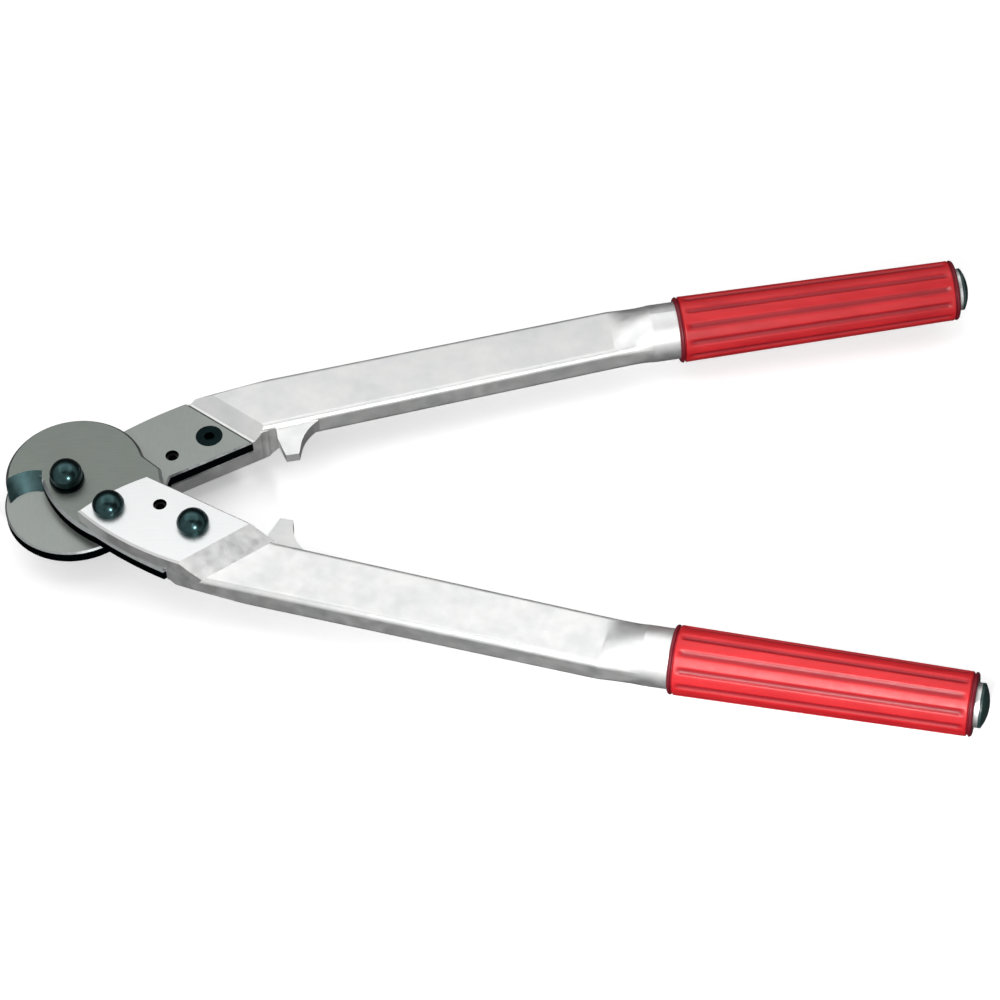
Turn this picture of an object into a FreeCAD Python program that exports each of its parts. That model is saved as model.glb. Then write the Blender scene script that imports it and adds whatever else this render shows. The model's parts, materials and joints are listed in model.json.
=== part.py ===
import FreeCAD, Part

import math
import os

# Two-hand wire rope cutters: two identical halves, turned over on each other about the
# tool's long axis, and hinged on one bolt. Each half is a forged aluminium handle that
# carries a forged steel bypass blade.
#
# Frame, in millimetres: the origin is on the pivot axis, in the plane where the blades
# slide on each other. +X runs from the pivot to the grips, +Z up is the pivot axis.
# Every piece of a half is drawn for the upper half in the closed tool, on the +Y side
# of the closing line, with its blade just under Z = 0. The lower half is the same half
# turned 180 degrees about X. Both are then swung apart by half of the resting spread.

Vector = FreeCAD.Vector
UP = Vector(0, 0, 1)

# ---- driving dimensions ----
rest_spread = 21.4          # angle between the halves at rest, degrees from closed
tooth_gap = 0.2             # what is left between the stop teeth when closed

# clearances
blade_gap = 0.1             # between the two blades
seat_clearance = 0.1        # round anything dropped into a seat
pivot_clearance = 0.05      # radial, running fit on the pivot bolt
grip_clearance = 0.05       # radial, sleeve on the core
thread_clearance = 0.5      # left between a screw's end and the floor of its nut

# blade
blade_thickness = 9.0
jaw_radius = 40.8           # the round jaw
jaw_centre_x = 2.5
jaw_centre_y = -7.3
heel_angle = -29.0          # where the jaw's round ends behind, degrees
tip_angle = 142.0           # and in front
lug_x = 51.0                # corner of the lug between heel and arm
lug_y = -19.5
lug_end_x = 59.0
corner_radius = 4.0         # at the lug, the heel and the crown
root_x = -15.6              # inner end of the cutting edge, at the closing line
root_y = 3.9                # how far up its wall the blade's back starts
root_wall_angle = 73.0      # direction of the wall that ends the bevel, degrees
edge_radius = 15.5          # hollow cutting edge, on the sliding face
edge_floor_y = 3.8          # its lowest point
bevel_spread = 8.5          # how much wider the ground bevel is on the outer face
back_bulge = 4.6            # round back, from the root to the crown
crown_x = 27.5
crown_y = 36.4
brow_x = 80.0               # the blade's outer edge aims at this point from the crown
brow_y = 57.4
brow_bulge = 1.2            # from the crown to the blade's end
outer_edge_break = 1.8      # chamfer round the outer face
sliding_edge_break = 1.0    # chamfer round the sliding face
blade_end_angle = -47.0     # direction of the slanted end of the blade, degrees
blade_end_distance = 91.2   # from the pivot to that end, square to it

# forged handle
flange_thickness = 10.0
flange_chamfer = 1.2
nose_x = 16.0
nose_y = 28.3
nose_bulge = 2.1            # from the nose to the knee
knee_x = 48.4               # inner corner of the flange
inner_line_zero_x = 61.3    # where the line of the inner edge crosses the closing line
inner_line_slope = 0.34
neck_x = 120.0              # the inner edge bends into the arm here
shoulder_x = 90.0           # the flange's outer arc runs into the arm here
shoulder_y = 56.1
shoulder_bulge = 4.4        # from the shoulder to the nose
seat_land = 1.5             # flat left between blade end and ramp
ramp_length = 8.0           # up to the arm, behind the blade
flange_end_distance = 98.7
flange_ramp_length = 11.0   # down from the flange to the arm
arm_turn_length = 24.0      # the arm turns round over this length, up to the collar
arm_end_inner_y = 38.2
arm_end_outer_y = 73.6
arm_thickness = 16.0
arm_rounding = 3.5          # along the long edges
relief_start_x = 124.0      # the outer rounding grows from here towards the joggle
relief_end_x = 78.0
relief_depth = 4.5          # by this much

# stop tooth
arch_x = 118.5              # round notch between flange and tooth
arch_y = 13.5
arch_radius = 6.0
tooth_tip_x = 127.8
tooth_tip_length = 7.8
tooth_tip_thickness = 6.0
tooth_root_thickness = 8.6
flank_x = 137.4             # top of the steep side behind the tip
flank_y = 6.5
tooth_fillet_x = 150.0
fillet_sag = 2.0

# grip end of the handle
collar_start_x = 354.0
collar_radius = 17.2
collar_length = 15.5
grip_axis_y = 56.3
core_radius = 12.6
core_tail = 2.5             # core left bare beyond the grip
core_bore_radius = 7.0
core_bore_depth = 60.0

# grip sleeve
grip_length = 170.0
grip_radius = 20.6          # at the collar
grip_end_radius = 18.8      # at the far end
grip_rim = 4.0              # plain band at each end
grip_edge_round = 1.2
flute_count = 12
flute_width = 5.6
flute_depth = 1.1

# end plug
plug_dome_height = 5.0
plug_stem_length = 14.0
plug_edge = 1.5

# clamp screws and cap nuts
clamp_front_x = 33.2
clamp_front_y = 22.6
clamp_rear_x = 84.8
clamp_rear_y = 26.4
screw_radius = 5.0
screw_head_radius = 7.9
screw_head_height = 5.4
screw_head_depth = 0.3      # head lies this far under the sliding face
socket_width = 6.0          # hexagon across flats
socket_depth = 3.2
nut_radius = 9.3
nut_wall_height = 3.0
nut_dome_height = 7.0
nut_thread_depth = 7.0

# spring pin between blade and handle
pin_x = 61.8
pin_y = 15.4
pin_radius = 4.0
pin_wall = 1.3
pin_slot = 1.2
pin_recess = 2.5            # below each face

# pivot
pivot_radius = 7.0
pivot_washer_radius = 10.2
pivot_washer_thickness = 2.4
pivot_nut_radius = 9.4
pivot_nut_wall_height = 5.5
pivot_nut_dome_height = 6.8
pivot_nut_thread_depth = 7.5
pivot_head_radius = 11.0
pivot_head_wall_height = 2.6
pivot_head_dome_height = 4.4
pivot_socket_width = 8.0
pivot_socket_depth = 4.5

# ---- worked out from the above ----
arm_end_x = collar_start_x - arm_turn_length
blade_top = -blade_gap / 2
blade_bottom = blade_top - blade_thickness
flange_bottom = blade_bottom - flange_thickness
arm_top = arm_thickness / 2
arm_bottom = -arm_top
pivot_nut_foot = -blade_bottom + pivot_washer_thickness
pivot_head_face = blade_bottom - blade_gap - pivot_washer_thickness
FAR = 1000.0                # longer than the whole tool, for cutting bodies


def at(x, y, z=0.0):
    return Vector(x, y, z)


def line(start, end):
    return Part.makeLine(start, end)


def arc(start, middle, end):
    return Part.Arc(start, middle, end).toShape()


def bowed(start, end, bulge):
    """An arc that stands out by bulge to the left of the way from start to end."""
    along = (end - start).normalize()
    return arc(start, (start + end) * 0.5 + Vector(-along.y, along.x, 0) * bulge, end)


def prism(edges, bottom, top):
    """A flat outline, given as edges in the XY plane, filled from bottom to top."""
    face = Part.Face(Part.Wire(edges))
    face.translate(Vector(0, 0, bottom))
    return face.extrude(Vector(0, 0, top - bottom))


def polygon_edges(points):
    return [line(a, b) for a, b in zip(points, points[1:] + points[:1])]


def post(x, y, radius, bottom, top):
    return Part.makeCylinder(radius, top - bottom, at(x, y, bottom))


def inner_line_y(x):
    """The straight inner edge that blade arm and flange share."""
    return inner_line_slope * (x - inner_line_zero_x)


def slanted(distance, along, z=0.0):
    """A point given square to the slanted blade end, and along it."""
    turn = math.radians(blade_end_angle)
    return at(
        -math.sin(turn) * distance + math.cos(turn) * along,
        math.cos(turn) * distance + math.sin(turn) * along,
        z,
    )


def meet_slanted_end(start, end):
    """Where the line from start to end crosses the slanted blade end."""
    turn = math.radians(blade_end_angle)
    across = Vector(-math.sin(turn), math.cos(turn), 0)
    share = (blade_end_distance - start.dot(across)) / (end - start).dot(across)
    return start + (end - start) * share


def round_posts(shape, radius, places):
    """Round the upright edges that stand at the given places."""
    edges = []
    for edge in shape.Edges:
        low, high = edge.BoundBox.ZMin, edge.BoundBox.ZMax
        upright = edge.BoundBox.XLength + edge.BoundBox.YLength < 1e-3 and high > low
        spot = at(edge.BoundBox.XMin, edge.BoundBox.YMin)
        if upright and any((spot - place).Length < 0.05 for place in places):
            edges.append(edge)
    return shape.makeFillet(radius, edges)


def rim_edges(shape, level):
    """The edges that lie flat at one level."""
    return [
        edge
        for edge in shape.Edges
        if abs(edge.BoundBox.ZMin - level) < 1e-3 and abs(edge.BoundBox.ZMax - level) < 1e-3
    ]


def dome(radius, wall_height, dome_height):
    """A short cylinder under a rounded cap, standing on Z = 0."""
    ball_radius = (radius**2 + dome_height**2) / (2 * dome_height)
    ball = Part.makeSphere(ball_radius, at(0, 0, wall_height + dome_height - ball_radius))
    cap = post(0, 0, radius, wall_height, wall_height + dome_height).common(ball)
    return post(0, 0, radius, 0, wall_height).fuse(cap).removeSplitter()


def hexagon_prism(across_flats, bottom, top):
    corner = across_flats / math.sqrt(3)
    points = [
        at(corner * math.cos(math.radians(60 * i)), corner * math.sin(math.radians(60 * i)))
        for i in range(6)
    ]
    return prism(polygon_edges(points), bottom, top)


# ---- blade ----
def jaw_point(angle):
    turn = math.radians(angle)
    return at(
        jaw_centre_x + jaw_radius * math.cos(turn),
        jaw_centre_y + jaw_radius * math.sin(turn),
    )


def blade_plate():
    """The forged blade before grinding: round jaw, heel, lug and straight arm."""
    root = at(root_x + root_y / math.tan(math.radians(root_wall_angle)), root_y)
    crown = at(crown_x, crown_y)
    outer_end = meet_slanted_end(crown, at(brow_x, brow_y))
    lug_end = at(lug_end_x, inner_line_y(lug_end_x))
    inner_end = meet_slanted_end(lug_end, inner_bend())
    lug = at(lug_x, lug_y)
    heel = jaw_point(heel_angle)
    tip = jaw_point(tip_angle)
    jaw_front = jaw_point((heel_angle + tip_angle) / 2 + 180)
    outline = [
        bowed(root, crown, back_bulge),
        bowed(crown, outer_end, brow_bulge),
        line(outer_end, inner_end),
        line(inner_end, lug_end),
        line(lug_end, lug),
        line(lug, heel),
        arc(heel, jaw_front, tip),
        line(tip, root),
    ]
    plate = prism(outline, blade_bottom, blade_top)
    plate = round_posts(plate, corner_radius, [lug, heel, crown])
    plate = plate.makeChamfer(outer_edge_break, rim_edges(plate, blade_bottom))
    return plate.makeChamfer(sliding_edge_break, rim_edges(plate, blade_top))


def bevel_cutter():
    """The hollow-ground bevel: a cone, widest on the outer face, ended by a wall."""
    spread = bevel_spread / blade_thickness
    overrun = 1.0
    cone = Part.makeCone(
        edge_radius - overrun * spread,
        edge_radius + bevel_spread + overrun * spread,
        blade_thickness + 2 * overrun,
        at(root_x, edge_floor_y + edge_radius, blade_top + overrun),
        Vector(0, 0, -1),
    )
    wall = Part.makeBox(FAR, 2 * FAR, 2 * FAR, Vector(-FAR, -FAR, -FAR))
    wall.rotate(at(0, 0), UP, root_wall_angle - 90)
    wall.translate(at(root_x, 0))
    return cone.common(wall)


def blade():
    shape = blade_plate().cut(bevel_cutter())
    cuts = [post(0, 0, pivot_radius + pivot_clearance, blade_bottom, blade_top)]
    for x, y in clamp_places():
        cuts.append(post(x, y, screw_radius + seat_clearance, blade_bottom, blade_top))
        head_floor = blade_top - screw_head_depth - screw_head_height
        cuts.append(post(x, y, screw_head_radius + seat_clearance, head_floor, blade_top))
    cuts.append(post(pin_x, pin_y, pin_radius, blade_bottom, blade_top))
    return shape.cut(cuts)


# ---- forged handle ----
def clamp_places():
    return [(clamp_front_x, clamp_front_y), (clamp_rear_x, clamp_rear_y)]


def inner_bend():
    return at(neck_x, inner_line_y(neck_x))


def handle_plan():
    """Flange, neck and arm from above."""
    nose = at(nose_x, nose_y)
    knee = at(knee_x, inner_line_y(knee_x))
    shoulder = at(shoulder_x, shoulder_y)
    inner_end = at(arm_end_x, arm_end_inner_y)
    outer_end = at(arm_end_x, arm_end_outer_y)
    return [
        bowed(nose, knee, -nose_bulge),
        line(knee, inner_bend()),
        line(inner_bend(), inner_end),
        line(inner_end, outer_end),
        line(outer_end, shoulder),
        bowed(shoulder, nose, -shoulder_bulge),
    ]


def across_profile(profile):
    """Fill a profile of (distance from the pivot, level) along the slanted blade end."""
    points = [slanted(distance, -FAR, z) for distance, z in profile]
    face = Part.Face(Part.Wire(polygon_edges(points)))
    return face.extrude(slanted(0, 2 * FAR))


def joggle():
    """The stretch where the flange steps over to the arm, and the seat for the blade."""
    seat = blade_end_distance + seat_clearance
    ramp_start = blade_end_distance + seat_land
    return across_profile(
        [
            (-FAR, flange_bottom),
            (flange_end_distance, flange_bottom),
            (flange_end_distance + flange_ramp_length, arm_bottom),
            (ramp_start + ramp_length, arm_top),
            (ramp_start, blade_top),
            (seat, blade_top),
            (seat, blade_bottom),
            (-FAR, blade_bottom),
        ]
    )


def arm_reach():
    """Everything beyond the joggle, with a wedge that reaches into it."""
    overlap = 3.0
    lower = flange_end_distance + flange_ramp_length
    upper = blade_end_distance + seat_land + ramp_length
    return across_profile(
        [
            (lower, arm_bottom),
            (FAR, arm_bottom),
            (FAR, arm_top),
            (upper, arm_top),
            ((lower + upper) / 2 - overlap, (arm_top + arm_bottom) / 2),
        ]
    )


def edge_rounder(start, end, radius, inward, away):
    """A long bar with a hollow side that rounds off a straight edge of the arm.

    inward and away point from the edge into the arm, square to it, and out of its face.
    """
    along = (end - start).normalize()
    lead = 2 * radius
    foot = start - along * lead
    on_face = foot + inward * radius
    on_side = foot - away * radius
    middle = foot + (inward - away) * radius * (1 - math.sqrt(0.5))
    beside = on_side - inward * lead
    above = on_face + away * lead
    outline = [
        arc(on_face, middle, on_side),
        line(on_side, beside),
        line(beside, beside + away * (radius + lead)),
        line(beside + away * (radius + lead), above),
        line(above, on_face),
    ]
    face = Part.Face(Part.Wire(outline))
    return face.extrude(end + along * lead - foot)


def tooth():
    """The stop tooth: a hook on the inner edge, drafted to a narrow tip."""
    tip_y = tooth_gap / 2
    bend = inner_bend()
    arm_slope = (arm_end_inner_y - bend.y) / (arm_end_x - bend.x)
    landing = at(tooth_fillet_x, bend.y + arm_slope * (tooth_fillet_x - bend.x))
    inside_y = landing.y + arm_rounding
    near = at(arch_x + arch_radius, arch_y)
    tip_near = at(tooth_tip_x, tip_y)
    tip_far = at(tooth_tip_x + tooth_tip_length, tip_y)
    flank = at(flank_x, flank_y)
    outline = [
        line(near, tip_near),
        line(tip_near, tip_far),
        line(tip_far, flank),
        bowed(flank, landing, fillet_sag),
        line(landing, at(landing.x, inside_y)),
        line(at(landing.x, inside_y), at(near.x, inside_y)),
        line(at(near.x, inside_y), near),
    ]
    body = prism(outline, arm_bottom, arm_top)
    half_tip = tooth_tip_thickness / 2
    half_root = tooth_root_thickness / 2
    draft = [
        at(near.x, tip_y, half_tip),
        at(near.x, landing.y, half_root),
        at(near.x, inside_y, half_root),
        at(near.x, inside_y, -half_root),
        at(near.x, landing.y, -half_root),
        at(near.x, tip_y, -half_tip),
    ]
    wedge = Part.Face(Part.Wire(polygon_edges(draft)))
    return body.common(wedge.extrude(Vector(landing.x - near.x, 0, 0)))


def arch():
    """The round notch that frees the stop tooth from the flange."""
    return post(arch_x, arch_y, arch_radius, flange_bottom, arm_top)


def grip_place(shape):
    """Put a piece drawn along +X from the origin on the grip's axis."""
    shape.translate(at(collar_start_x, grip_axis_y))
    return shape


def rod(radius, start, end):
    return Part.makeCylinder(radius, end - start, at(start, 0), Vector(1, 0, 0))


def arm_edges():
    """The arm's inner and outer edge from above, each as its start and its end."""
    inner = inner_bend(), at(arm_end_x, arm_end_inner_y)
    outer = at(shoulder_x, shoulder_y), at(arm_end_x, arm_end_outer_y)
    return inner, outer


def rounded_bar_end():
    """The corners of the rounded bar's end: centre, reach to the side, reach up."""
    corners = []
    for (start, end), inward in zip(arm_edges(), (1, -1)):
        side = arm_rounding * (end - start).Length / (end.x - start.x) * inward
        for level, away in ((arm_bottom, -1), (arm_top, 1)):
            rise = arm_rounding * away
            corners.append((end + at(0, side, level - rise), at(0, -side), at(0, 0, rise)))
    inner_low, inner_high, outer_low, outer_high = corners
    return [outer_low, outer_high, inner_high, inner_low]


def quarter_ellipse(centre, first, last):
    """A rounded corner as a cut across the tool shows it, from one reach to the other."""
    wide, tall = (first, last) if first.y else (last, first)
    ellipse = Part.Ellipse(centre + wide, centre + tall, centre)
    ends = sorted(ellipse.parameter(centre + reach) for reach in (first, last))
    if ends[1] - ends[0] > math.pi:
        ends = [ends[1], ends[0] + 2 * math.pi]
    return Part.ArcOfEllipse(ellipse, *ends).toShape()


def arm_to_collar():
    """The rounded bar drawn out to a round collar."""
    bar_edges = []
    stops = []
    for index, (centre, side, rise) in enumerate(rounded_bar_end()):
        first, last = (side, rise) if index % 2 else (rise, side)
        if stops:
            bar_edges.append(line(stops[-1], centre + first))
        bar_edges.append(quarter_ellipse(centre, first, last))
        stops += [centre + first, centre + last]
    bar_edges.append(line(stops[-1], stops[0]))
    angles = [math.atan2(stop.z, stop.y - grip_axis_y) for stop in stops]
    ring_edges = []
    for first, last in zip(angles, angles[1:] + angles[:1]):
        swing = (last - first + math.pi) % (2 * math.pi) - math.pi
        ring_edges.append(arc(*(on_collar(angle) for angle in (first, first + swing / 2, last))))
    round_end = grip_place(Part.Wire(ring_edges))
    return Part.makeLoft([Part.Wire(bar_edges), round_end], True, True)


def on_collar(angle):
    return at(0, collar_radius * math.cos(angle), collar_radius * math.sin(angle))


def flange():
    """Flange and joggle, with the rim of the outer face chamfered."""
    body = prism(handle_plan(), flange_bottom, arm_top).common(joggle())
    rim = rim_edges(body, flange_bottom)
    ramp_edge = max(rim, key=lambda edge: edge.CenterOfMass.dot(slanted(1, 0)))
    rim = [edge for edge in rim if not edge.isSame(ramp_edge)]
    return body.makeChamfer(flange_chamfer, rim)


def outer_line_y(x):
    """The straight outer edge of the arm."""
    slope = (arm_end_outer_y - shoulder_y) / (arm_end_x - shoulder_x)
    return shoulder_y + slope * (x - shoulder_x)


def arm_rounders(level, away):
    """What rounds off both long edges of the arm at one level."""
    tools = []
    for (start, end), inward in zip(arm_edges(), (1, -1)):
        along = (end - start).normalize()
        into_arm = Vector(-along.y, along.x, 0) * inward
        lift = at(0, 0, level)
        tools.append(edge_rounder(start + lift, end + lift, arm_rounding, into_arm, away))
    return tools


def joggle_relief():
    """A flat that takes ever more off the outer edge, on the blade's side, to the joggle."""
    first = arm_rounding * (2 - math.sqrt(2))
    last = first + relief_depth

    def section(x, size):
        y = outer_line_y(x)
        points = [
            at(x, y - 2 * size, arm_top + size),
            at(x, y + size, arm_top - 2 * size),
            at(x, y + size, arm_top + size),
        ]
        return Part.Wire(polygon_edges(points))

    sections = [section(relief_start_x, first), section(relief_end_x, last)]
    return Part.makeLoft(sections, True, True)


def arm():
    """The straight bar, with the edges on the flange's side rounded."""
    body = prism(handle_plan(), arm_bottom, arm_top).common(arm_reach())
    return body.cut(arm_rounders(arm_bottom, UP * -1))


def grip_core():
    """Collar and the bored core that the grip slides on."""
    core_end = collar_length + grip_length + core_tail
    collar = rod(collar_radius, 0, collar_length)
    core = rod(core_radius, 0, core_end)
    bore = rod(core_bore_radius, core_end - core_bore_depth, core_end)
    return grip_place(collar.fuse(core).cut(bore))


def handle():
    body = flange().fuse(arm()).cut(arm_rounders(arm_top, UP) + [joggle_relief()])
    body = body.fuse([tooth(), arm_to_collar(), grip_core()])
    cuts = [arch()]
    for x, y in clamp_places():
        cuts.append(post(x, y, screw_radius + seat_clearance, flange_bottom, blade_bottom))
    cuts.append(post(pin_x, pin_y, pin_radius, flange_bottom, blade_bottom))
    return body.cut(cuts).removeSplitter()


# ---- grip and plug ----
def fluted_ring(outer_radius):
    """The sleeve's section: a round outline with shallow hollows all round it."""
    step = 2 * math.pi / flute_count
    half_flute = math.asin(flute_width / 2 / outer_radius)
    edges = []
    for index in range(flute_count):
        centre = index * step

        def spot(angle, radius):
            return at(0, radius * math.cos(angle), radius * math.sin(angle))

        start, end = centre - half_flute, centre + half_flute
        following = centre + step - half_flute
        edges.append(
            arc(
                spot(start, outer_radius),
                spot(centre, outer_radius - flute_depth),
                spot(end, outer_radius),
            )
        )
        edges.append(
            arc(
                spot(end, outer_radius),
                spot((end + following) / 2, outer_radius),
                spot(following, outer_radius),
            )
        )
    return Part.Wire(edges)


def radius_along_grip(distance):
    return grip_radius + (grip_end_radius - grip_radius) * distance / grip_length


def grip_rim_band(start, end, rounded):
    """A plain band of the tapered sleeve, with its outer end rounded over."""
    band = Part.makeCone(
        radius_along_grip(start), radius_along_grip(end), end - start, at(start, 0), Vector(1, 0, 0)
    )
    rim = [
        edge
        for edge in band.Edges
        if abs(edge.BoundBox.XMin - rounded) < 1e-3 and abs(edge.BoundBox.XMax - rounded) < 1e-3
    ]
    return band.makeFillet(grip_edge_round, rim)


def grip():
    """A tapered sleeve with long flutes between two plain rims."""
    flutes_end = grip_length - grip_rim
    sections = []
    for distance in (grip_rim, flutes_end):
        section = fluted_ring(radius_along_grip(distance))
        section.translate(at(distance, 0))
        sections.append(section)
    sleeve = Part.makeLoft(sections, True, True)
    sleeve = sleeve.fuse(
        [
            grip_rim_band(0, grip_rim, 0),
            grip_rim_band(flutes_end, grip_length, grip_length),
        ]
    )
    sleeve = sleeve.cut(rod(core_radius + grip_clearance, 0, grip_length))
    sleeve.translate(at(collar_length, 0))
    return grip_place(sleeve)


def end_plug():
    """The domed plug that closes the bore at the end of the handle."""
    core_end = collar_length + grip_length + core_tail
    head = dome(core_radius, plug_edge, plug_dome_height - plug_edge)
    stem = post(0, 0, core_bore_radius - seat_clearance, -plug_stem_length, 0)
    plug = head.fuse(stem)
    plug.rotate(at(0, 0), Vector(0, 1, 0), 90)
    plug.translate(at(core_end, 0))
    return grip_place(plug)


# ---- fasteners ----
def clamp_screw(x, y):
    """A flush socket-head screw, put in from the sliding face of the blade."""
    head_top = blade_top - screw_head_depth
    head_floor = head_top - screw_head_height
    end = flange_bottom - nut_thread_depth + thread_clearance
    shape = post(0, 0, screw_head_radius, head_floor, head_top)
    shape = shape.fuse(post(0, 0, screw_radius, end, head_floor))
    shape = shape.cut(hexagon_prism(socket_width, head_top - socket_depth, head_top))
    shape.translate(at(x, y))
    return shape


def cap_nut(radius, wall_height, dome_height, bore_radius, bore_depth):
    nut = dome(radius, wall_height, dome_height)
    return nut.cut(post(0, 0, bore_radius, 0, bore_depth))


def clamp_nut(x, y):
    """The domed cap nut on the outer face of the flange."""
    nut = cap_nut(
        nut_radius,
        nut_wall_height,
        nut_dome_height,
        screw_radius + seat_clearance,
        nut_thread_depth,
    )
    nut.rotate(at(0, 0), Vector(1, 0, 0), 180)
    nut.translate(at(x, y, flange_bottom))
    return nut


def spring_pin():
    """A slotted spring pin that keeps blade and handle in line."""
    bottom = flange_bottom + pin_recess
    top = blade_top - pin_recess
    pin = post(0, 0, pin_radius, bottom, top)
    pin = pin.cut(post(0, 0, pin_radius - pin_wall, bottom, top))
    slot = Part.makeBox(2 * pin_radius, pin_slot, top - bottom, at(0, -pin_slot / 2, bottom))
    pin = pin.cut(slot)
    pin.translate(at(pin_x, pin_y))
    return pin


# ---- pivot, fixed to the lower half ----
def pivot_washer(level):
    """A washer whose lower face is at the given level."""
    ring = post(0, 0, pivot_washer_radius, level, level + pivot_washer_thickness)
    hole = post(0, 0, pivot_radius + seat_clearance, level, level + pivot_washer_thickness)
    return ring.cut(hole)


def pivot_bolt():
    head = dome(pivot_head_radius, pivot_head_wall_height, pivot_head_dome_height)
    height = pivot_head_wall_height + pivot_head_dome_height
    head = head.cut(hexagon_prism(pivot_socket_width, height - pivot_socket_depth, height))
    head.rotate(at(0, 0), Vector(1, 0, 0), 180)
    head.translate(at(0, 0, pivot_head_face))
    end = pivot_nut_foot + pivot_nut_thread_depth - thread_clearance
    return head.fuse(post(0, 0, pivot_radius, pivot_head_face, end))


def pivot_cap_nut():
    nut = cap_nut(
        pivot_nut_radius,
        pivot_nut_wall_height,
        pivot_nut_dome_height,
        pivot_radius + seat_clearance,
        pivot_nut_thread_depth,
    )
    nut.translate(at(0, 0, pivot_nut_foot))
    return nut


# ---- placing and writing ----
def as_upper(shape):
    placed = shape.copy()
    placed.rotate(at(0, 0), UP, rest_spread / 2)
    return placed


def as_lower(shape):
    placed = shape.copy()
    placed.rotate(at(0, 0), Vector(1, 0, 0), 180)
    placed.rotate(at(0, 0), UP, -rest_spread / 2)
    return placed


def half_pieces():
    front, rear = clamp_places()
    return {
        "handle": handle(),
        "blade": blade(),
        "front_clamp_screw": clamp_screw(*front),
        "rear_clamp_screw": clamp_screw(*rear),
        "front_cap_nut": clamp_nut(*front),
        "rear_cap_nut": clamp_nut(*rear),
        "spring_pin": spring_pin(),
        "grip": grip(),
        "end_plug": end_plug(),
    }


def all_pieces():
    pieces = {}
    for name, shape in half_pieces().items():
        pieces["lower_" + name] = as_lower(shape)
        pieces["upper_" + name] = as_upper(shape)
    pieces["pivot_bolt"] = pivot_bolt()
    pieces["pivot_cap_nut"] = pivot_cap_nut()
    pieces["pivot_top_washer"] = pivot_washer(-blade_bottom)
    pieces["pivot_bottom_washer"] = pivot_washer(pivot_head_face)
    return pieces


os.makedirs("parts", exist_ok=True)
for piece_name, piece in all_pieces().items():
    piece.exportStep("parts/" + piece_name + ".step")
    print(piece_name, piece.isValid(), len(piece.Solids), round(piece.Volume))
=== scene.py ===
import json
import math

import bpy
from mathutils import Matrix, Vector


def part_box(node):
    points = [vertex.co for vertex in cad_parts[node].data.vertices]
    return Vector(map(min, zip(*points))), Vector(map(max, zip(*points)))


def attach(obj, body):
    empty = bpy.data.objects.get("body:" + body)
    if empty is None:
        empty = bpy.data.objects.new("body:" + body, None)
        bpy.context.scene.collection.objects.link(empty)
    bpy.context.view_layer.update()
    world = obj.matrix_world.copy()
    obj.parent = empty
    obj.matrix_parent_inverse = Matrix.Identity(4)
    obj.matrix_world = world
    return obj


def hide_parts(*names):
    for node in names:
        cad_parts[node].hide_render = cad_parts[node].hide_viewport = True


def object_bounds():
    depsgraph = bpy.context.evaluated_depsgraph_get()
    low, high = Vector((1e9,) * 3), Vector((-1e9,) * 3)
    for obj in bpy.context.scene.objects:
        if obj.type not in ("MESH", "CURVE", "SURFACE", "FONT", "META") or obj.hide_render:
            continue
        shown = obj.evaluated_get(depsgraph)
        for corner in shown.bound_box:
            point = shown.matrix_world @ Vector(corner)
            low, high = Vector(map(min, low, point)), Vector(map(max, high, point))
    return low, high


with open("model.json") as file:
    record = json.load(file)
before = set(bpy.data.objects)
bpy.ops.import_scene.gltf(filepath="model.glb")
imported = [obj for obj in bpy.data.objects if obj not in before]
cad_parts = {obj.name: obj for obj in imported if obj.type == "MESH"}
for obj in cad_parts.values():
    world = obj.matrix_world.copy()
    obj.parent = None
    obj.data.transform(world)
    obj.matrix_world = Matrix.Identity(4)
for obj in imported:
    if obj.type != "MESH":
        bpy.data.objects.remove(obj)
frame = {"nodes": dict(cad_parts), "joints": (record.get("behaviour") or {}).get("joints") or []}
cad_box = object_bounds()

# Two-hand wire rope cutters on a pale studio floor. The forged handles, blades and
# fasteners are the CAD bodies with procedural finishes. The vinyl grips are modelled
# here, in place of their simpler CAD sleeves. Lengths are in metres.

HALVES = ("lower", "upper")
MILLIMETRE = 0.001
MICROMETRE = 0.000001

# ---- how the CAD's facets are told apart ----
FLAT_TILT = 0.97                    # tilt is how upright a facet's normal is
CHAMFER_TILT = (0.70, 0.72)         # the bevel's cone is just below this
WALL_TILT = 0.5                     # a wall has less tilt than this, and the bevel more
SLIDING_LEVEL = 1.0 * MILLIMETRE    # the blades slide on each other at Z = 0
FLANGE_MARGIN = 0.5 * MILLIMETRE    # how far a facet may be from the flange's face
HOLE_MARGIN = 0.5 * MILLIMETRE      # the hole's wall is no further than this from its pin

# ---- noise, in the materials ----
NOISE_LOW = 0.3             # most of a noise's values lie between these two
NOISE_HIGH = 0.7
NOISE_ROUGHNESS = 0.55      # how strong each finer layer is beside the one before
STEEL_LINES_SHARE = 0.35    # of a steel face's mottle, how much is its grinding lines

# ---- camera ----
CAMERA_AZIMUTH = 5.5        # degrees round from the front
CAMERA_ELEVATION = 50.0
CAMERA_ROLL = -4.36
CAMERA_DISTANCE = 2.234
CAMERA_LENS = 139.1         # millimetres, as is the sensor
CAMERA_SENSOR = 36.0
CAMERA_AIM_X = 0.252
CAMERA_AIM_Y = -0.0081
CAMERA_REACH = 50.0

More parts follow.
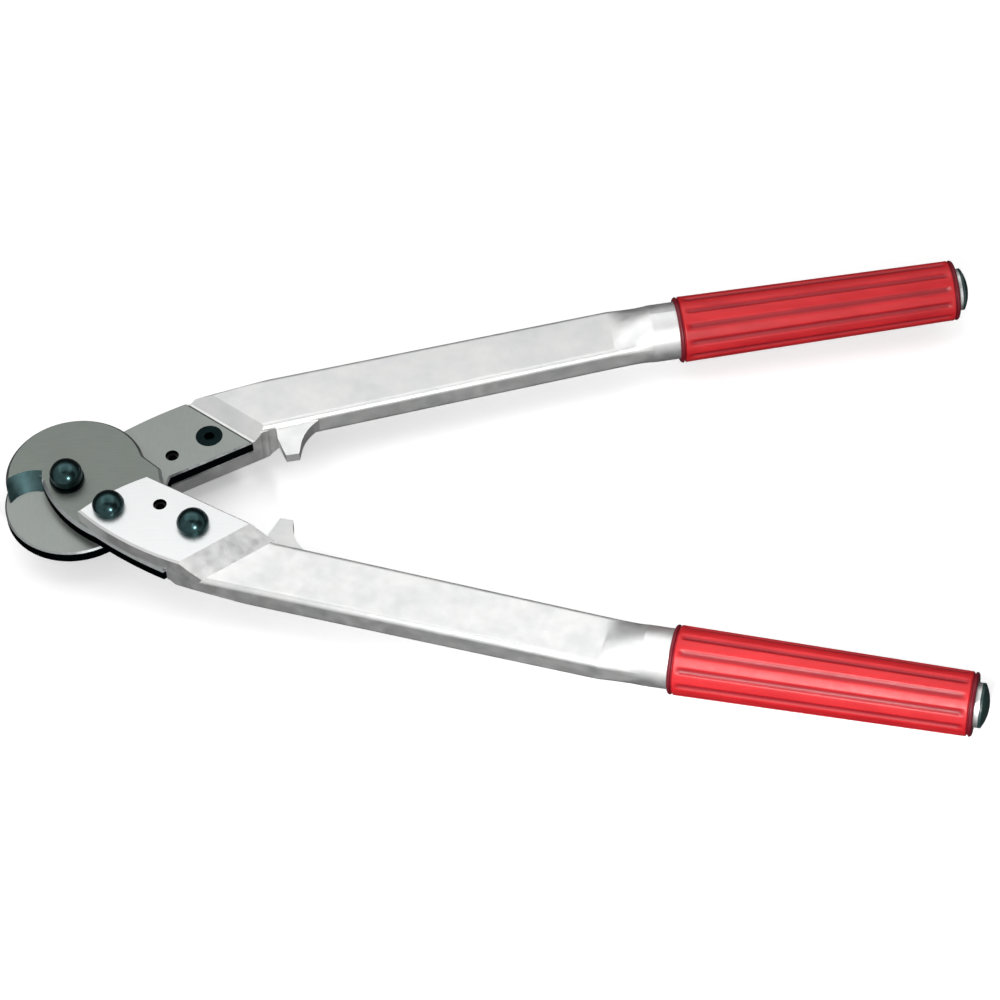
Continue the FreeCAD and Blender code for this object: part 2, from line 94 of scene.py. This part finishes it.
# ---- grip, the soft sleeve on each core ----
GRIP_SHRINK = 0.8 * MILLIMETRE      # the dipped skin lies this far inside the CAD sleeve
GRIP_FLUTES = 12
GRIP_FLUTE_TURN = {"lower": 5.0, "upper": 20.0}     # degrees from the front, upwards
GRIP_FLUTE_WIDTH = 4.4 * MILLIMETRE
GRIP_FLUTE_DEPTH = 1.1 * MILLIMETRE
GRIP_FLUTE_STEPS = 20       # facets round the grip from flute to flute
GRIP_ROUND = 1.6 * MILLIMETRE       # rounding of each end
GRIP_ROUND_STEPS = 6
GRIP_GROOVE_AT = 2.6 * MILLIMETRE   # a groove sets off the rim at each end
GRIP_GROOVE_WIDTH = 1.8 * MILLIMETRE
GRIP_GROOVE_DEPTH = 1.1 * MILLIMETRE
GRIP_GROOVE_STEPS = 8
GRIP_FADE_START = 4.0 * MILLIMETRE  # the flutes run out here
GRIP_FADE_END = 8.5 * MILLIMETRE
GRIP_FADE_STEPS = 8
GRIP_FLUTE_PAINTED_SHADE = 0.65   # the most painted shade in the flutes; the rims get full painted shade, so they are darker than the flutes
PAINTED_SHADE = "painted_shade"         # the attribute that says how much painted shade a point has, from 0 to 1

# ---- studio, in metres and in brightness of the lit surface ----
FLOOR_SIZE = 12.0
FLOOR_GLOW = 0.35           # it keeps the shadows on the floor light
PANEL_SIZE = (1.4, 0.95)    # a soft panel overhead
PANEL_PLACE = (-0.05, 0.27, 0.80)
PANEL_BRIGHTNESS = 0.98
KEY_SIZE = (0.34, 0.30)     # a lamp in front
KEY_PLACE = (0.27, -0.50, 0.42)
KEY_AIM = (0.43, -0.12, 0.0)
KEY_BRIGHTNESS = 1.1
KEY_SPREAD = 56.0           # degrees: a grid keeps it off the head
SPARK_SIZE = (0.08, 0.08)   # a small lamp, for the glints on the nuts
SPARK_PLACE = (0.386, -0.828, 0.407)
SPARK_AIM = (0.0, 0.0, 0.0)
SPARK_BRIGHTNESS = 220.0
SKY_TILT = 37.0             # the bright side of the sky leans forward by this much
SKY = ((-0.15, 0.05), (0.1, 0.62), (0.4, 0.78))     # share of its full height, brightness
FLAGS = (       # where the sky is dark: direction, cosines at its rim and where it is full
    ((0.72, -0.43, 0.56), 0.80, 0.96),      # a card that stands off to the right
    ((0.0, -0.1, 0.995), 0.84, 0.96),       # behind the panel
)
FLAG_BRIGHTNESS = 0.1
BACKDROP_BRIGHTNESS = 0.9


# ---- helpers for materials ----
class Shader:
    """A small builder for one procedural material."""

    def __init__(self, name, metallic, roughness):
        self.material = bpy.data.materials.new(name)
        self.material.use_nodes = True
        self.tree = self.material.node_tree
        self.surface = self.tree.nodes["Principled BSDF"]
        self.surface.inputs["Metallic"].default_value = metallic
        self.surface.inputs["Roughness"].default_value = roughness
        self.coordinates = self.tree.nodes.new("ShaderNodeTexCoord")

    def link(self, output, target):
        self.tree.links.new(output, target)

    def stretched(self, scale):
        """Object coordinates in metres, scaled along each axis."""
        mapping = self.tree.nodes.new("ShaderNodeMapping")
        mapping.inputs["Scale"].default_value = scale
        self.link(self.coordinates.outputs["Object"], mapping.inputs["Vector"])
        return mapping.outputs["Vector"]

    def noise(self, scale, detail=3.0):
        """Noise with the given number of cells to a metre along each axis."""
        node = self.tree.nodes.new("ShaderNodeTexNoise")
        node.inputs["Scale"].default_value = 1.0
        node.inputs["Detail"].default_value = detail
        node.inputs["Roughness"].default_value = NOISE_ROUGHNESS
        self.link(self.stretched(scale), node.inputs["Vector"])
        return node.outputs["Fac"]

    def blend(self, value, dark, light, start=NOISE_LOW, end=NOISE_HIGH):
        """A colour that goes from dark to light as the value goes from start to end."""
        node = self.tree.nodes.new("ShaderNodeValToRGB")
        stops = ((start, dark), (end, light))
        for element, (position, colour) in zip(node.color_ramp.elements, stops):
            element.position = position
            element.color = (*colour, 1.0)
        self.link(value, node.inputs["Fac"])
        return node.outputs["Color"]

    def spread(self, value, low, high):
        """Map a noise value from its usual range onto low to high."""
        node = self.tree.nodes.new("ShaderNodeMapRange")
        node.inputs["From Min"].default_value = NOISE_LOW
        node.inputs["From Max"].default_value = NOISE_HIGH
        node.inputs["To Min"].default_value = low
        node.inputs["To Max"].default_value = high
        self.link(value, node.inputs["Value"])
        return node.outputs["Result"]

    def colour(self, output):
        self.link(output, self.surface.inputs["Base Color"])

    def rough(self, output):
        self.link(output, self.surface.inputs["Roughness"])

    def bump(self, height, depth, strength):
        """Relief of the given depth in metres."""
        node = self.tree.nodes.new("ShaderNodeBump")
        node.inputs["Strength"].default_value = strength
        node.inputs["Distance"].default_value = depth
        self.link(height, node.inputs["Height"])
        self.link(node.outputs["Normal"], self.surface.inputs["Normal"])


def even(cells):
    return (cells, cells, cells)


def grey(brightness):
    return (brightness, brightness, brightness, 1.0)


# ---- materials ----
def blasted_aluminium():
    """The forged skin: pale, matte, with a fine blasted grain."""
    shader = Shader("blasted_aluminium", 0.9, 0.45)
    patches = shader.noise(even(60), 4.0)
    shader.colour(shader.blend(patches, (0.70, 0.71, 0.71), (0.80, 0.80, 0.79)))
    shader.rough(shader.spread(shader.noise(even(140)), 0.38, 0.52))
    shader.bump(shader.noise(even(1400), 2.0), 60 * MICROMETRE, 0.6)
    return shader.material


def milled_aluminium():
    """The flange's machined face: finer and brighter, with tool lines."""
    shader = Shader("milled_aluminium", 0.95, 0.34)
    lines = shader.noise((60, 2500, 60), 2.0)
    shader.colour(shader.blend(lines, (0.68, 0.70, 0.70), (0.76, 0.77, 0.77)))
    shader.rough(shader.spread(lines, 0.3, 0.42))
    shader.bump(lines, 30 * MICROMETRE, 0.5)
    return shader.material


def steel_face(name, dark, light, cells):
    """A satin steel face with grinding lines and a faint mottle."""
    shader = Shader(name, 0.95, 0.42)
    lines = shader.noise(cells)
    patches = shader.noise(even(45))
    mixed = shader.tree.nodes.new("ShaderNodeMath")
    mixed.operation = "ADD"
    shader.link(shader.spread(lines, 0.0, STEEL_LINES_SHARE), mixed.inputs[0])
    shader.link(shader.spread(patches, 0.0, 1.0 - STEEL_LINES_SHARE), mixed.inputs[1])
    shader.colour(shader.blend(mixed.outputs["Value"], dark, light, 0.0, 1.0))
    shader.rough(shader.spread(patches, 0.36, 0.5))
    shader.bump(lines, 30 * MICROMETRE, 0.5)
    return shader.material


def ground_edge():
    """The narrow chamfers along the blade's outline."""
    shader = Shader("ground_edge", 1.0, 0.35)
    lines = shader.noise(even(400), 2.0)
    shader.colour(shader.blend(lines, (0.34, 0.36, 0.36), (0.42, 0.44, 0.44)))
    shader.rough(shader.spread(lines, 0.3, 0.42))
    return shader.material


def dark_steel(name, dark, light, edge):
    """Dark steel, partly blackened by heat treatment and partly painted shade; edge is its gloss
    at a grazing angle.
    """
    shader = Shader(name, 1.0, 0.4)
    patches = shader.noise(even(120), 4.0)
    shader.colour(shader.blend(patches, dark, light))
    shader.rough(shader.spread(patches, 0.32, 0.5))
    shader.bump(shader.noise(even(700), 2.0), 40 * MICROMETRE, 0.5)
    shader.surface.inputs["Specular Tint"].default_value = grey(edge)
    return shader.material


def black_oxide(name, dark, light):
    """Nuts, screws and pivot: blue-black and smooth."""
    shader = Shader(name, 1.0, 0.22)
    patches = shader.noise(even(260))
    shader.colour(shader.blend(patches, dark, light))
    shader.rough(shader.spread(patches, 0.2, 0.26))
    shader.bump(shader.noise(even(900), 2.0), 10 * MICROMETRE, 0.2)
    return shader.material


def spring_steel():
    """The slotted pins, dark and oiled."""
    shader = Shader("spring_steel", 0.9, 0.35)
    patches = shader.noise(even(500), 2.0)
    shader.colour(shader.blend(patches, (0.03, 0.03, 0.03), (0.07, 0.07, 0.07)))
    return shader.material


def plug_plastic():
    """The end plug: dark green-black moulded plastic."""
    shader = Shader("plug_plastic", 0.0, 0.4)
    patches = shader.noise(even(300))
    shader.colour(shader.blend(patches, (0.008, 0.028, 0.026), (0.016, 0.045, 0.042)))
    shader.rough(shader.spread(patches, 0.32, 0.48))
    shader.bump(shader.noise(even(2000), 2.0), 30 * MICROMETRE, 0.5)
    return shader.material


def red_vinyl():
    """The grip: dipped vinyl, mottled, finely grained, with painted shade that darkens its flutes
    and its rims.
    """
    shader = Shader("red_vinyl", 0.0, 0.45)
    mottle = shader.noise((25, 120, 120), 2.0)
    unshaded = shader.blend(mottle, (0.42, 0.007, 0.012), (0.56, 0.016, 0.021), 0.25, 0.75)
    # painted shade: the attribute mixes in a dark red, in the flutes and at the rims
    painted_shade = shader.tree.nodes.new("ShaderNodeAttribute")
    painted_shade.attribute_name = PAINTED_SHADE
    painted_shade_mix = shader.tree.nodes.new("ShaderNodeMixRGB")
    painted_shade_mix.inputs["Color2"].default_value = (0.14, 0.004, 0.012, 1.0)
    shader.link(painted_shade.outputs["Fac"], painted_shade_mix.inputs["Fac"])
    shader.link(unshaded, painted_shade_mix.inputs["Color1"])
    shader.colour(painted_shade_mix.outputs["Color"])
    shader.rough(shader.spread(shader.noise(even(220)), 0.36, 0.46))
    shader.bump(shader.noise(even(900), 1.0), 20 * MICROMETRE, 0.15)
    shader.surface.inputs["IOR"].default_value = 1.45
    shader.surface.inputs["Subsurface Weight"].default_value = 0.05
    shader.surface.inputs["Subsurface Radius"].default_value = (0.004, 0.001, 0.001)
    return shader.material


def floor_paper():
    """Pale studio paper with a barely visible tooth."""
    shader = Shader("floor_paper", 0.0, 0.9)
    shader.surface.inputs["Emission Color"].default_value = grey(1.0)
    shader.surface.inputs["Emission Strength"].default_value = FLOOR_GLOW
    tooth = shader.noise(even(90), 4.0)
    shader.colour(shader.blend(tooth, (0.90, 0.90, 0.90), (0.94, 0.94, 0.94)))
    return shader.material


# ---- finishes on the CAD bodies ----
def paint(node, materials, choose):
    """Give each facet of a CAD node the material that choose picks for it."""
    mesh = frame["nodes"][node].data
    mesh.materials.clear()
    for material in materials:
        mesh.materials.append(material)
    for facet in mesh.polygons:
        facet.material_index = choose(facet)


def blade_finish(facet):
    """0 for the sliding face, 1 the outer face, 2 a chamfer, 3 the bevel, 4 a wall; the bevel and
    the walls get steel darkened with painted shade.
    """
    tilt = abs(facet.normal.z)
    if tilt > FLAT_TILT:
        return 0 if abs(facet.center.z) < SLIDING_LEVEL else 1
    if CHAMFER_TILT[0] < tilt < CHAMFER_TILT[1]:
        return 2
    return 3 if tilt > WALL_TILT else 4


def dress_blades(materials):
    for half in HALVES:
        paint(half + "_blade", materials, blade_finish)


def handle_finish(half):
    """A choice of 0 for the forged skin, 1 the flange's milled face, 2 in the pin's hole, which
    gets near-black steel as painted shade.
    """
    nut_low, nut_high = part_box(half + "_rear_cap_nut")
    # the nuts stand on the milled face, which the upper half turns downwards
    face_level = nut_low.z if half == "lower" else nut_high.z
    pin_low, pin_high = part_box(half + "_spring_pin")
    pin_middle = (pin_low + pin_high) / 2
    hole_reach = (pin_high.x - pin_low.x) / 2 + HOLE_MARGIN

    def choose(facet):
        # painted shade: the pin's hole is lined with the near-black wall steel
        if (facet.center - pin_middle).xy.length < hole_reach:
            return 2
        flat = abs(facet.normal.z) > FLAT_TILT
        return 1 if flat and abs(facet.center.z - face_level) < FLANGE_MARGIN else 0

    return choose


def dress_handles(materials):
    for half in HALVES:
        paint(half + "_handle", materials, handle_finish(half))


def dress_plain(material, nodes):
    """The same finish all over each node."""
    for node in nodes:
        paint(node, (material,), lambda facet: 0)


# ---- grips ----
def grip_frame(half):
    """A grip's axis, the side it faces, its ends along the axis, its radii and its bore."""
    # each half is turned away from its closed place by half of what the joint can close
    closing = math.radians(-frame["joints"][0]["range_deg"][0] / 2)
    turn = closing if half == "upper" else -closing
    along = Vector((math.cos(turn), math.sin(turn), 0.0))
    across = Vector((-math.sin(turn), math.cos(turn), 0.0))
    points = [vertex.co for vertex in frame["nodes"][half + "_grip"].data.vertices]
    stations = [point.dot(along) for point in points]
    offsets = [point.dot(across) for point in points]
    offset = (min(offsets) + max(offsets)) / 2
    reaches = [math.hypot(o - offset, p.z) for o, p in zip(offsets, points)]
    start, end = min(stations), max(stations)
    rim = 2 * GRIP_ROUND    # each end reaches its full radius within this
    start_radius = max(r for r, s in zip(reaches, stations) if s < start + rim) - GRIP_SHRINK
    end_radius = max(r for r, s in zip(reaches, stations) if s > end - rim) - GRIP_SHRINK
    return along, across * offset, across, (start, end), (start_radius, end_radius), min(reaches)


def grip_end_rows():
    """The skin from one end inwards: distance from the end, inset, share of the flutes."""
    rows = []
    for step in range(GRIP_ROUND_STEPS + 1):
        angle = math.radians(90) * step / GRIP_ROUND_STEPS
        rows.append((GRIP_ROUND * (1 - math.cos(angle)), GRIP_ROUND * (1 - math.sin(angle)), 0.0))
    for step in range(GRIP_GROOVE_STEPS + 1):
        place = 2 * step / GRIP_GROOVE_STEPS - 1
        depth = GRIP_GROOVE_DEPTH * math.cos(math.radians(90) * place) ** 2
        rows.append((GRIP_GROOVE_AT + GRIP_GROOVE_WIDTH / 2 * place, depth, 0.0))
    for step in range(GRIP_FADE_STEPS + 1):
        share = step / GRIP_FADE_STEPS
        distance = GRIP_FADE_START + (GRIP_FADE_END - GRIP_FADE_START) * share
        rows.append((distance, 0.0, share * share * (3 - 2 * share)))
    return rows


def grip_rings(length, radii, bore):
    """Rings, bore to bore: distance, full radius, inset, share of flutes, least painted shade."""
    taper = (radii[1] - radii[0]) / length
    near_rows = grip_end_rows()
    far_rows = [(length - distance, inset, share) for distance, inset, share in near_rows]
    rings = [(0.0, bore, 0.0, 0.0, 1.0)]
    for distance, inset, share in near_rows + far_rows[::-1]:
        from_end = min(distance, length - distance)
        # the rims, out to the groove, and the bore get full painted shade
        least_painted_shade = 1.0 if from_end < GRIP_GROOVE_AT else 0.0
        rings.append((distance, radii[0] + taper * distance, inset, share, least_painted_shade))
    rings.append((length, bore, 0.0, 0.0, 1.0))
    return rings


def flute_hollow(angle, radius, flute_turn):
    """How deep the flutes are at one angle round the grip."""
    step = 2 * math.pi / GRIP_FLUTES
    from_middle = (angle - flute_turn + step / 2) % step - step / 2
    place = from_middle * radius / (GRIP_FLUTE_WIDTH / 2)
    return GRIP_FLUTE_DEPTH * max(0.0, 1 - place * place)


def tube_faces(rows, steps_round):
    """Quads between neighbouring rings, and from the last ring back to the first."""
    faces = []
    for row in range(rows):
        here = row * steps_round
        after = (row + 1) % rows * steps_round
        for index in range(steps_round):
            beside = (index + 1) % steps_round
            faces.append((here + index, after + index, after + beside, here + beside))
    return faces


def grip_mesh(half):
    """The fluted sleeve: one closed skin with rims, grooves and a bore."""
    along, axis_point, across, ends, radii, bore = grip_frame(half)
    steps_round = GRIP_FLUTES * GRIP_FLUTE_STEPS
    flute_turn = math.radians(GRIP_FLUTE_TURN[half])
    rings = grip_rings(ends[1] - ends[0], radii, bore)
    vertices = []
    painted_shades = []
    for distance, full, inset, share, least_painted_shade in rings:
        centre = axis_point + along * (ends[0] + distance)
        for index in range(steps_round):
            angle = 2 * math.pi * index / steps_round
            depth = inset + share * flute_hollow(angle, full, flute_turn)
            radius = full - depth
            front = -across * math.cos(angle) * radius
            vertices.append(centre + front + Vector((0, 0, math.sin(angle) * radius)))
            # painted shade, deeper as the flute is deeper
            painted_shade = GRIP_FLUTE_PAINTED_SHADE * min(1.0, depth / GRIP_FLUTE_DEPTH)
            painted_shades.append(max(least_painted_shade, painted_shade))
    mesh = bpy.data.meshes.new(half + "_grip_sleeve")
    mesh.from_pydata(vertices, [], tube_faces(len(rings), steps_round))
    mesh.attributes.new(PAINTED_SHADE, "FLOAT", "POINT").data.foreach_set("value", painted_shades)
    mesh.shade_smooth()
    return mesh


def build_grip(half, material):
    mesh = grip_mesh(half)
    mesh.materials.append(material)
    sleeve = bpy.data.objects.new(half + "_grip_sleeve", mesh)
    bpy.context.scene.collection.objects.link(sleeve)
    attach(sleeve, half + "_half")
    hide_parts(half + "_grip")


# ---- camera and lights ----
def aim(obj, target):
    direction = target - obj.location
    obj.rotation_euler = direction.to_track_quat("-Z", "Y").to_euler()


def add_camera():
    data = bpy.data.cameras.new("camera")
    data.sensor_width = CAMERA_SENSOR
    data.lens = CAMERA_LENS
    data.clip_end = CAMERA_REACH
    camera = bpy.data.objects.new("camera", data)
    bpy.context.scene.collection.objects.link(camera)
    azimuth = math.radians(CAMERA_AZIMUTH)
    elevation = math.radians(CAMERA_ELEVATION)
    back = Vector(
        (
            math.sin(azimuth) * math.cos(elevation),
            -math.cos(azimuth) * math.cos(elevation),
            math.sin(elevation),
        )
    )
    target = Vector((CAMERA_AIM_X, CAMERA_AIM_Y, 0.0))
    turn = (-back).to_track_quat("-Z", "Y").to_matrix().to_4x4()
    roll = Matrix.Rotation(math.radians(CAMERA_ROLL), 4, "Z")
    camera.matrix_world = Matrix.Translation(target + back * CAMERA_DISTANCE) @ turn @ roll
    bpy.context.scene.camera = camera


def add_area(name, place, target, size, brightness):
    """A flat light; its brightness is that of its own surface before any grid."""
    data = bpy.data.lights.new(name, "AREA")
    data.shape = "RECTANGLE"
    data.size, data.size_y = size
    data.energy = brightness * math.pi * size[0] * size[1]
    light = bpy.data.objects.new(name, data)
    light.location = place
    bpy.context.scene.collection.objects.link(light)
    light.visible_camera = False
    aim(light, Vector(target))
    return light


def add_lights():
    below_panel = (PANEL_PLACE[0], PANEL_PLACE[1], 0.0)
    add_area("panel", PANEL_PLACE, below_panel, PANEL_SIZE, PANEL_BRIGHTNESS)
    key = add_area("key", KEY_PLACE, KEY_AIM, KEY_SIZE, KEY_BRIGHTNESS)
    key.data.spread = math.radians(KEY_SPREAD)
    add_area("spark", SPARK_PLACE, SPARK_AIM, SPARK_SIZE, SPARK_BRIGHTNESS)


# ---- floor and sky ----
def add_floor(level, middle):
    """Seen, but it throws no light back, so that the tool keeps its dark undersides."""
    half = FLOOR_SIZE / 2
    corners = [(-half, -half), (half, -half), (half, half), (-half, half)]
    mesh = bpy.data.meshes.new("floor")
    mesh.from_pydata([(middle.x + x, middle.y + y, level) for x, y in corners], [], [(0, 1, 2, 3)])
    mesh.materials.append(floor_paper())
    floor = bpy.data.objects.new("floor", mesh)
    bpy.context.scene.collection.objects.link(floor)
    floor.visible_diffuse = False
    floor.visible_glossy = False


def cosine_to(tree, direction, towards):
    """How near a sky direction is to another one."""
    node = tree.nodes.new("ShaderNodeVectorMath")
    node.operation = "DOT_PRODUCT"
    node.inputs[1].default_value = towards
    tree.links.new(direction, node.inputs[0])
    return node.outputs["Value"]


def sky_gradient(tree, direction):
    """Bright above and in front, dark below and behind."""
    tilt = math.radians(SKY_TILT)
    height = cosine_to(tree, direction, (0.0, -math.sin(tilt), math.cos(tilt)))
    share = tree.nodes.new("ShaderNodeMapRange")
    share.inputs["From Min"].default_value = -1.0
    ramp = tree.nodes.new("ShaderNodeValToRGB")
    elements = ramp.color_ramp.elements
    while len(elements) < len(SKY):
        elements.new(0.5)
    for element, (place, brightness) in zip(elements, SKY):
        element.position = (place + 1) / 2
        element.color = grey(brightness)
    tree.links.new(height, share.inputs["Value"])
    tree.links.new(share.outputs["Result"], ramp.inputs["Fac"])
    return ramp.outputs["Color"]


def darken(tree, direction, sky, towards, rim, full):
    """The same sky with one dark, soft-edged patch."""
    flag = tree.nodes.new("ShaderNodeMapRange")
    flag.interpolation_type = "SMOOTHSTEP"
    flag.inputs["From Min"].default_value = rim
    flag.inputs["From Max"].default_value = full
    flagged = tree.nodes.new("ShaderNodeMixRGB")
    flagged.inputs["Color2"].default_value = grey(FLAG_BRIGHTNESS)
    tree.links.new(cosine_to(tree, direction, towards), flag.inputs["Value"])
    tree.links.new(flag.outputs["Result"], flagged.inputs["Fac"])
    tree.links.new(sky, flagged.inputs["Color1"])
    return flagged.outputs["Color"]


def add_world():
    """A sky that lights the tool, with a plain backdrop where it is seen itself."""
    world = bpy.data.worlds.new("studio")
    world.use_nodes = True
    tree = world.node_tree
    direction = tree.nodes.new("ShaderNodeTexCoord").outputs["Generated"]
    sky = sky_gradient(tree, direction)
    for towards, rim, full in FLAGS:
        sky = darken(tree, direction, sky, towards, rim, full)
    ray = tree.nodes.new("ShaderNodeLightPath")
    mix = tree.nodes.new("ShaderNodeMixRGB")
    mix.inputs["Color2"].default_value = grey(BACKDROP_BRIGHTNESS)
    tree.links.new(sky, mix.inputs["Color1"])
    tree.links.new(ray.outputs["Is Camera Ray"], mix.inputs["Fac"])
    tree.links.new(mix.outputs["Color"], tree.nodes["Background"].inputs["Color"])
    bpy.context.scene.world = world


# ---- the whole scene ----
def dress_steel():
    """Blades and handles, facet by facet."""
    sliding = steel_face("sliding_steel", (0.26, 0.285, 0.27), (0.34, 0.36, 0.34), (1800, 90, 90))
    outer = steel_face("outer_steel", (0.175, 0.20, 0.18), (0.235, 0.255, 0.235), (90, 1200, 90))
    # the bevel is dark teal and the walls near black with little gloss at a grazing angle: dark
    # steel with painted shade
    bevel = dark_steel("bevel_steel_painted_shade", (0.036, 0.072, 0.076), (0.062, 0.110, 0.114), 1.0)
    wall = dark_steel("wall_steel_painted_shade", (0.002, 0.005, 0.006), (0.006, 0.011, 0.013), 0.2)
    dress_blades((sliding, outer, ground_edge(), bevel, wall))
    dress_handles((blasted_aluminium(), milled_aluminium(), wall))


def dress_fasteners():
    """Nuts, screws, washers, pins and end plugs."""
    nut_black = black_oxide("nut_black", (0.022, 0.048, 0.051), (0.045, 0.086, 0.089))
    screw_black = black_oxide("screw_black", (0.003, 0.007, 0.008), (0.006, 0.014, 0.015))
    ends = ("_front_", "_rear_")
    nuts = [half + end + "cap_nut" for half in HALVES for end in ends]
    screws = [half + end + "clamp_screw" for half in HALVES for end in ends]
    dress_plain(nut_black, nuts + ["pivot_cap_nut", "pivot_bolt"])
    dress_plain(screw_black, screws + ["pivot_top_washer", "pivot_bottom_washer"])
    dress_plain(spring_steel(), [half + "_spring_pin" for half in HALVES])
    dress_plain(plug_plastic(), [half + "_end_plug" for half in HALVES])


def build():
    low, high = Vector(cad_box[0]), Vector(cad_box[1])
    dress_steel()
    dress_fasteners()
    vinyl = red_vinyl()
    for half in HALVES:
        build_grip(half, vinyl)
    add_camera()
    add_floor(low.z, (low + high) / 2)
    add_world()
    add_lights()
    bpy.context.scene.view_settings.view_transform = "Standard"


build()
